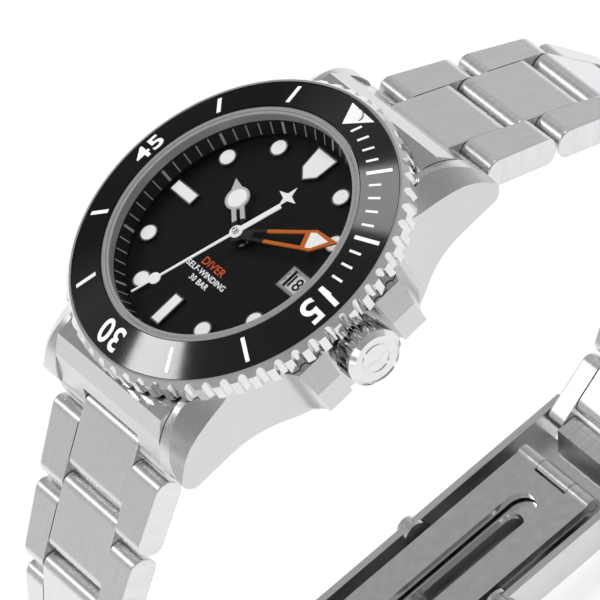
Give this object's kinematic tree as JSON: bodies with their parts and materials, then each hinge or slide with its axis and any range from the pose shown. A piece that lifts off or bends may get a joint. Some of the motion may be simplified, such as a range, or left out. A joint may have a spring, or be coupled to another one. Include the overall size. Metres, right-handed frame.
{
  "type": "dive watch",
  "caption": "Steel dive watch with black rotating bezel, black dial, guarded crown and a tapering three-piece link bracelet closed by a folding clasp.",
  "frame": {"origin": "middle of the case back's outer face", "axes": "+Z out of the dial, +Y to the 12 o'clock lugs, +X to the crown at 3 o'clock"},
  "size_m": [0.0423, 0.0879, 0.0686],
  "materials": {
    "black_ceramic": "gloss",
    "brushed_steel": "brushed",
    "date_white": "satin",
    "dial_black": "gloss",
    "gasket_rubber": "matte",
    "glass": "clear",
    "hand_orange": "satin",
    "hand_white": "satin",
    "holder_plastic": "matte",
    "lume_white": "matte",
    "movement_brass": "satin",
    "polished_steel": "polished"
  },
  "bodies": {
    "case": {"case_middle": "brushed_steel", "case_back": "brushed_steel", "case_back_gasket": "gasket_rubber", "crown_tube": "polished_steel", "bezel_retaining_wire": "polished_steel", "bezel_click_spring": "polished_steel", "crystal": "glass", "crystal_gasket": "gasket_rubber", "chapter_ring": "dial_black", "dial": "dial_black", "hour_markers": "polished_steel", "marker_lume": "lume_white", "date_frame": "polished_steel", "movement_plate": "movement_brass", "movement_holder": "holder_plastic", "movement_bridge": "movement_brass", "mainspring_barrel": "movement_brass", "balance_staff": "polished_steel", "end_link_12": "brushed_steel", "end_link_6": "brushed_steel", "spring_bars": "polished_steel", "end_link_pins": "polished_steel"},
    "bezel": {"rotating_bezel": "polished_steel", "bezel_insert": "black_ceramic", "bezel_pearl": "lume_white"},
    "crown_slider": {"crown_gasket": "gasket_rubber"},
    "crown_body": {"crown": "polished_steel", "crown_stem": "polished_steel"},
    "hour_hand_body": {"hour_hand": "hand_white", "hour_hand_lume": "lume_white"},
    "minute_hand_body": {"minute_hand": "hand_orange", "minute_hand_lume": "lume_white"},
    "second_hand_body": {"second_hand": "hand_white"},
    "date_ring_body": {"date_ring": "date_white"},
    "rotor_body": {"rotor": "movement_brass"},
    "balance_body": {"balance_wheel": "movement_brass"},
    "clasp_cover_body": {"clasp_cover": "brushed_steel", "clasp_cover_pin": "polished_steel"},
    "clasp_middle_body": {"clasp_middle_blade": "brushed_steel", "clasp_blade_pin": "polished_steel"},
    "clasp_bottom_body": {"clasp_bottom_blade": "brushed_steel"},
    "clasp_lock_body": {"clasp_flip_lock": "brushed_steel"},
    "clasp_button_left_body": {"clasp_button_left": "brushed_steel"},
    "clasp_button_right_body": {"clasp_button_right": "brushed_steel"},
    "link_12_1_body": {"bracelet_link_12_1": "brushed_steel"},
    "link_12_2_body": {"bracelet_link_12_2": "brushed_steel"},
    "link_12_3_body": {"bracelet_link_12_3": "brushed_steel"},
    "link_12_4_body": {"bracelet_link_12_4": "brushed_steel"},
    "link_12_5_body": {"bracelet_link_12_5": "brushed_steel"},
    "link_12_6_body": {"bracelet_link_12_6": "brushed_steel"},
    "link_12_7_body": {"bracelet_link_12_7": "brushed_steel"},
    "link_12_8_body": {"bracelet_link_12_8": "brushed_steel"},
    "link_6_1_body": {"bracelet_link_6_1": "brushed_steel"},
    "link_6_2_body": {"bracelet_link_6_2": "brushed_steel"},
    "link_6_3_body": {"bracelet_link_6_3": "brushed_steel"},
    "link_6_4_body": {"bracelet_link_6_4": "brushed_steel"},
    "link_6_5_body": {"bracelet_link_6_5": "brushed_steel"},
    "link_6_6_body": {"bracelet_link_6_6": "brushed_steel"},
    "link_6_7_body": {"bracelet_link_6_7": "brushed_steel"}
  },
  "joints": [
    {"name": "bezel_turn", "type": "hinge", "parent": "case", "child": "bezel", "pos_m": [0, 0, 0.0095], "axis": [0, 0, 1], "continuous": true},
    {"name": "crown_pull", "type": "slide", "parent": "case", "child": "crown_slider", "axis": [1, 0, 0], "range_m": [0, 0.0015]},
    {"name": "crown_turn", "type": "hinge", "parent": "crown_slider", "child": "crown_body", "pos_m": [0.0206, 0, 0.00495], "axis": [1, 0, 0], "continuous": true},
    {"name": "minute_hand_turn", "type": "hinge", "parent": "case", "child": "minute_hand_body", "pos_m": [0, 0, 0.0102], "axis": [0, 0, -1], "continuous": true},
    {"name": "hour_hand_turn", "type": "hinge", "parent": "case", "child": "hour_hand_body", "pos_m": [0, 0, 0.00975], "axis": [0, 0, -1], "continuous": true},
    {"name": "second_hand_turn", "type": "hinge", "parent": "case", "child": "second_hand_body", "pos_m": [0, 0, 0.0106], "axis": [0, 0, -1], "continuous": true},
    {"name": "date_ring_turn", "type": "hinge", "parent": "case", "child": "date_ring_body", "pos_m": [0, 0, 0.0083], "axis": [0, 0, 1], "continuous": true},
    {"name": "rotor_turn", "type": "hinge", "parent": "case", "child": "rotor_body", "pos_m": [0, 0, 0.0037], "axis": [0, 0, 1], "continuous": true},
    {"name": "balance_swing", "type": "hinge", "parent": "case", "child": "balance_body", "pos_m": [0.0046, -0.0074, 0.0056], "axis": [0, 0, 1], "range_deg": [-270, 270], "stiffness_Nm_per_rad": 0.000001},
    {"name": "link_12_1_hinge", "type": "hinge", "parent": "case", "child": "link_12_1_body", "pos_m": [0, 0.0219, 0.0016], "axis": [1, 0, 0], "range_deg": [0, 25]},
    {"name": "link_12_2_hinge", "type": "hinge", "parent": "link_12_1_body", "child": "link_12_2_body", "pos_m": [0, 0.03021, -0.0034], "axis": [1, 0, 0], "range_deg": [0, 15]},
    {"name": "link_12_3_hinge", "type": "hinge", "parent": "link_12_2_body", "child": "link_12_3_body", "pos_m": [0, 0.03844, -0.00854], "axis": [1, 0, 0], "range_deg": [0, 28]},
    {"name": "link_12_4_hinge", "type": "hinge", "parent": "link_12_3_body", "child": "link_12_4_body", "pos_m": [0, 0.04329, -0.01694], "axis": [1, 0, 0], "range_deg": [0, 28.6]},
    {"name": "link_12_5_hinge", "type": "hinge", "parent": "link_12_4_body", "child": "link_12_5_body", "pos_m": [0, 0.04353, -0.02663], "axis": [1, 0, 0], "range_deg": [0, 20.8]},
    {"name": "link_12_6_hinge", "type": "hinge", "parent": "link_12_5_body", "child": "link_12_6_body", "pos_m": [0, 0.04031, -0.03578], "axis": [1, 0, 0], "range_deg": [0, 15]},
    {"name": "link_12_7_hinge", "type": "hinge", "parent": "link_12_6_body", "child": "link_12_7_body", "pos_m": [0, 0.03484, -0.0438], "axis": [1, 0, 0], "range_deg": [0, 15.2]},
    {"name": "link_12_8_hinge", "type": "hinge", "parent": "link_12_7_body", "child": "link_12_8_body", "pos_m": [0, 0.02746, -0.0501], "axis": [1, 0, 0], "range_deg": [0, 20.6]},
    {"name": "clasp_cover_hinge", "type": "hinge", "parent": "link_12_8_body", "child": "clasp_cover_body", "pos_m": [0, 0.01834, -0.0534], "axis": [1, 0, 0], "range_deg": [0, 15]},
    {"name": "clasp_middle_hinge", "type": "hinge", "parent": "clasp_cover_body", "child": "clasp_middle_body", "pos_m": [0, -0.01559, -0.05081], "axis": [1, 0, 0], "range_deg": [0, 60]},
    {"name": "clasp_bottom_hinge", "type": "hinge", "parent": "clasp_middle_body", "child": "clasp_bottom_body", "pos_m": [0, 0.01241, -0.05242], "axis": [-1, 0, 0], "range_deg": [0, 60]},
    {"name": "clasp_lock_hinge", "type": "hinge", "parent": "clasp_cover_body", "child": "clasp_lock_body", "pos_m": [0, -0.00739, -0.05295], "axis": [1, 0, 0], "range_deg": [0, 65]},
    {"name": "clasp_button_left_push", "type": "slide", "parent": "clasp_cover_body", "child": "clasp_button_left_body", "axis": [1, 0, 0], "range_m": [0, 0.0005], "stiffness_N_per_m": 400},
    {"name": "clasp_button_right_push", "type": "slide", "parent": "clasp_cover_body", "child": "clasp_button_right_body", "axis": [-1, 0, 0], "range_m": [0, 0.0005], "stiffness_N_per_m": 400},
    {"name": "link_6_1_hinge", "type": "hinge", "parent": "case", "child": "link_6_1_body", "pos_m": [0, -0.0219, 0.0016], "axis": [-1, 0, 0], "range_deg": [0, 20]},
    {"name": "link_6_2_hinge", "type": "hinge", "parent": "link_6_1_body", "child": "link_6_2_body", "pos_m": [0, -0.02905, -0.00495], "axis": [-1, 0, 0], "range_deg": [0, 15]},
    {"name": "link_6_3_hinge", "type": "hinge", "parent": "link_6_2_body", "child": "link_6_3_body", "pos_m": [0, -0.03603, -0.01169], "axis": [-1, 0, 0], "range_deg": [0, 16]},
    {"name": "link_6_4_hinge", "type": "hinge", "parent": "link_6_3_body", "child": "link_6_4_body", "pos_m": [0, -0.04088, -0.02009], "axis": [-1, 0, 0], "range_deg": [0, 28.9]},
    {"name": "link_6_5_hinge", "type": "hinge", "parent": "link_6_4_body", "child": "link_6_5_body", "pos_m": [0, -0.04106, -0.02979], "axis": [-1, 0, 0], "range_deg": [0, 25.7]},
    {"name": "link_6_6_hinge", "type": "hinge", "parent": "link_6_5_body", "child": "link_6_6_body", "pos_m": [0, -0.03703, -0.03861], "axis": [-1, 0, 0], "range_deg": [0, 20.1]},
    {"name": "link_6_7_hinge", "type": "hinge", "parent": "link_6_6_body", "child": "link_6_7_body", "pos_m": [0, -0.0302, -0.0455], "axis": [-1, 0, 0], "range_deg": [0, 18.8]}
  ],
  "couplings": [
    {"joint": "hour_hand_turn", "follows": "minute_hand_turn", "ratio": 0.083333},
    {"joint": "clasp_bottom_hinge", "follows": "clasp_middle_hinge", "ratio": 1}
  ]
}
